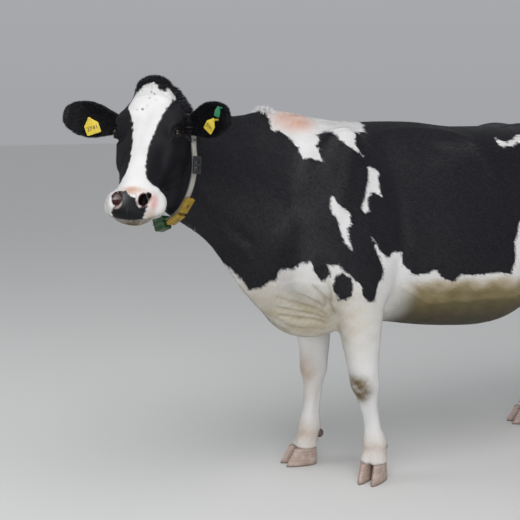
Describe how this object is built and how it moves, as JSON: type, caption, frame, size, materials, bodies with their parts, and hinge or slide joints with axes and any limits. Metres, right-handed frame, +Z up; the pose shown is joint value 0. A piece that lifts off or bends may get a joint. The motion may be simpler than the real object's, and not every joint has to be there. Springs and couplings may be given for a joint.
{
  "type": "dairy cow",
  "caption": "Still life-size model of a black and white dairy cow standing with its head turned to its left, wearing ear tags and a neck collar with plain blocks.",
  "frame": {"origin": "bottom centre of the whole animal's bounding box, on the ground the claws stand on", "axes": "+X toward the tail, the muzzle toward -X; +Y toward the cow's right side, its left side toward -Y; +Z up"},
  "size_m": [2.6724, 0.757, 1.631],
  "materials": {
    "coat_black_and_white": "short flat black hair with white markings, slight sheen",
    "coat_white": "short flat white hair",
    "bare_skin": "thin pink skin, matt",
    "horn": "dull pinkish grey horn with growth rings",
    "eye": "wet dark brown eye",
    "webbing": "worn light grey woven strap",
    "buckle_plastic": "black moulded plastic",
    "yellow_plastic": "yellow moulded plastic, slightly soiled",
    "green_plastic": "green moulded plastic"
  },
  "bodies": {
    "root": {"claw_front_left_inner": "horn", "claw_front_left_outer": "horn", "claw_front_right_inner": "horn", "claw_front_right_outer": "horn", "claw_rear_left_inner": "horn", "claw_rear_left_outer": "horn", "claw_rear_right_inner": "horn", "claw_rear_right_outer": "horn", "collar_buckle": "buckle_plastic", "collar_number_block_lower": "yellow_plastic", "collar_number_block_upper": "yellow_plastic", "collar_strap": "webbing", "collar_transponder": "green_plastic", "dewclaw_front_left_inner": "horn", "dewclaw_front_left_outer": "horn", "dewclaw_front_right_inner": "horn", "dewclaw_front_right_outer": "horn", "dewclaw_rear_left_inner": "horn", "dewclaw_rear_left_outer": "horn", "dewclaw_rear_right_inner": "horn", "dewclaw_rear_right_outer": "horn", "ear_left": "coat_black_and_white", "ear_right": "coat_black_and_white", "ear_tag_left_green": "green_plastic", "ear_tag_left_yellow": "yellow_plastic", "ear_tag_right_yellow": "yellow_plastic", "eye_left": "eye", "eye_right": "eye", "head": "coat_black_and_white", "leg_front_left_cannon": "coat_white", "leg_front_left_forearm": "coat_white", "leg_front_right_cannon": "coat_white", "leg_front_right_forearm": "coat_white", "leg_rear_left_shank": "coat_white", "leg_rear_left_thigh": "coat_white", "leg_rear_right_shank": "coat_white", "leg_rear_right_thigh": "coat_white", "neck": "coat_black_and_white", "tail": "coat_black_and_white", "tail_switch": "coat_white", "teat_front_left": "bare_skin", "teat_front_right": "bare_skin", "teat_rear_left": "bare_skin", "teat_rear_right": "bare_skin", "trunk": "coat_black_and_white", "udder": "bare_skin"}
  },
  "joints": []
}
